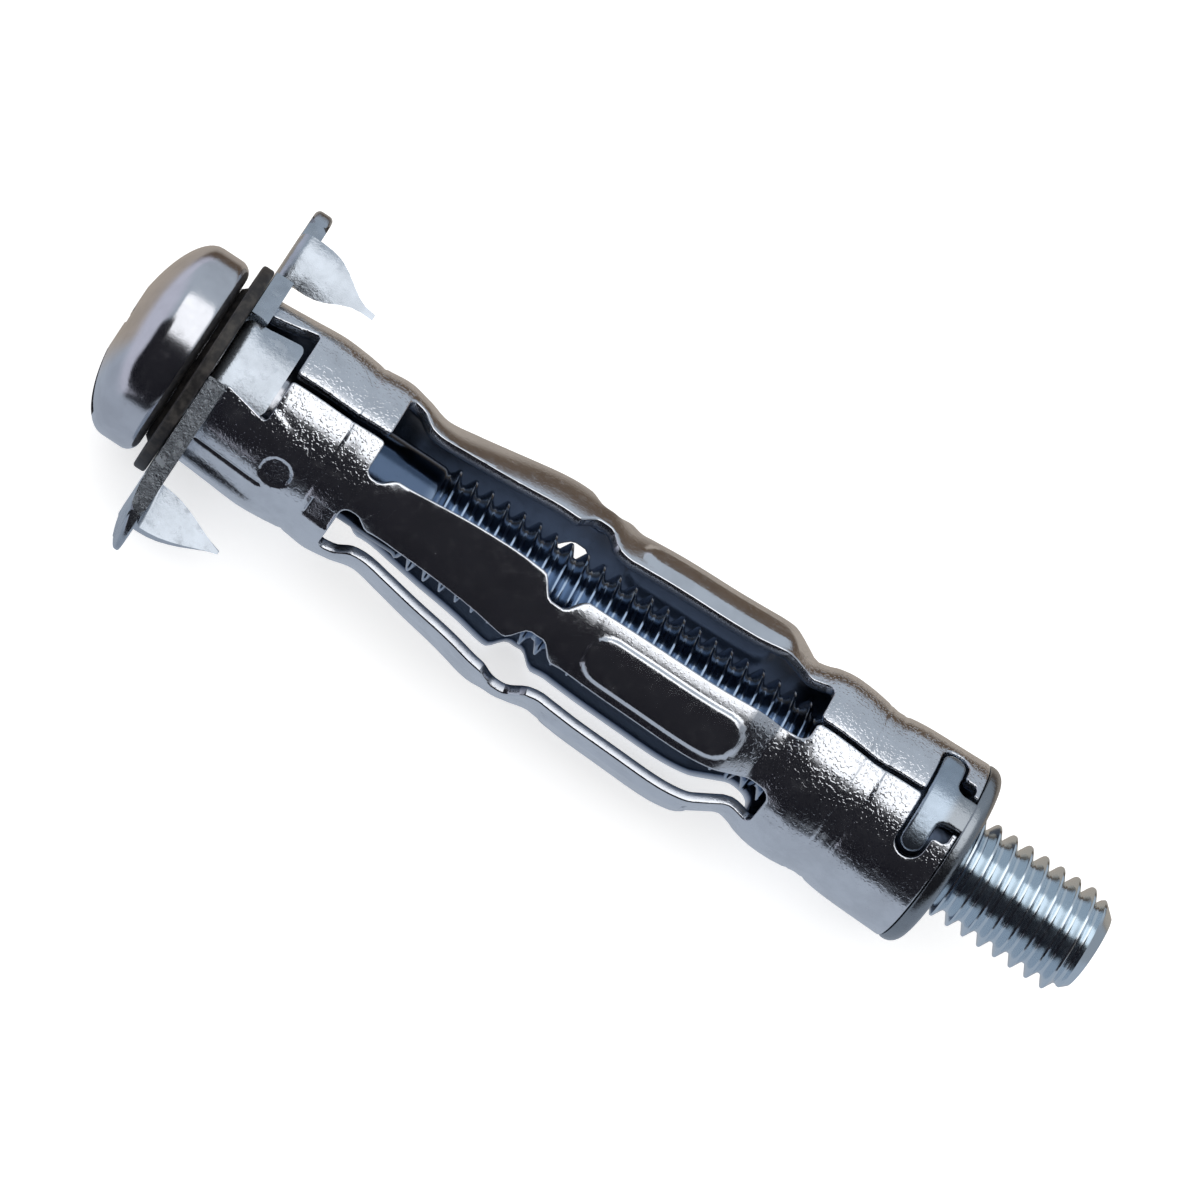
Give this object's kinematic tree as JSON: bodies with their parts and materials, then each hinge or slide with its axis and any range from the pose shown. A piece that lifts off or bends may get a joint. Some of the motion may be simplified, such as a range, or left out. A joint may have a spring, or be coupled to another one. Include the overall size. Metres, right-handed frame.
{
  "type": "hollow wall anchor",
  "caption": "Slotted metal sleeve with a toothed flange plate, a flanged nut at its far end and a pan-head machine screw through it, for fixing to hollow boards.",
  "frame": {"origin": "on the screw's axis, at the face of the flange plate that seats on the board", "axes": "+X along the screw's axis from its head to its tip, +Z through the sleeve's seam, the plate's wings along Y"},
  "size_m": [0.0605, 0.022, 0.0124],
  "materials": {
    "zinc_screw": "bright zinc-plated steel",
    "zinc_plate": "bright zinc-plated steel",
    "zinc_sleeve": "bright zinc-plated steel",
    "zinc_nut": "bluish zinc-plated steel",
    "washer": "matt black"
  },
  "bodies": {
    "root": {"sleeve": "zinc_sleeve", "flange_plate": "zinc_plate", "nut": "zinc_nut"},
    "washer": {"washer": "washer"},
    "screw": {"screw": "zinc_screw"}
  },
  "joints": [
    {"name": "screw_travel", "type": "slide", "parent": "root", "child": "washer", "axis": [-1, 0, 0], "range_m": [0, 0.014]},
    {"name": "screw_turn", "type": "hinge", "parent": "washer", "child": "screw", "pos_m": [0, 0, 0], "axis": [-1, 0, 0], "range_deg": [0, 5040]}
  ],
  "couplings": [
    {"joint": "screw_turn", "follows": "screw_travel", "rad_per_m": 6283.2}
  ]
}
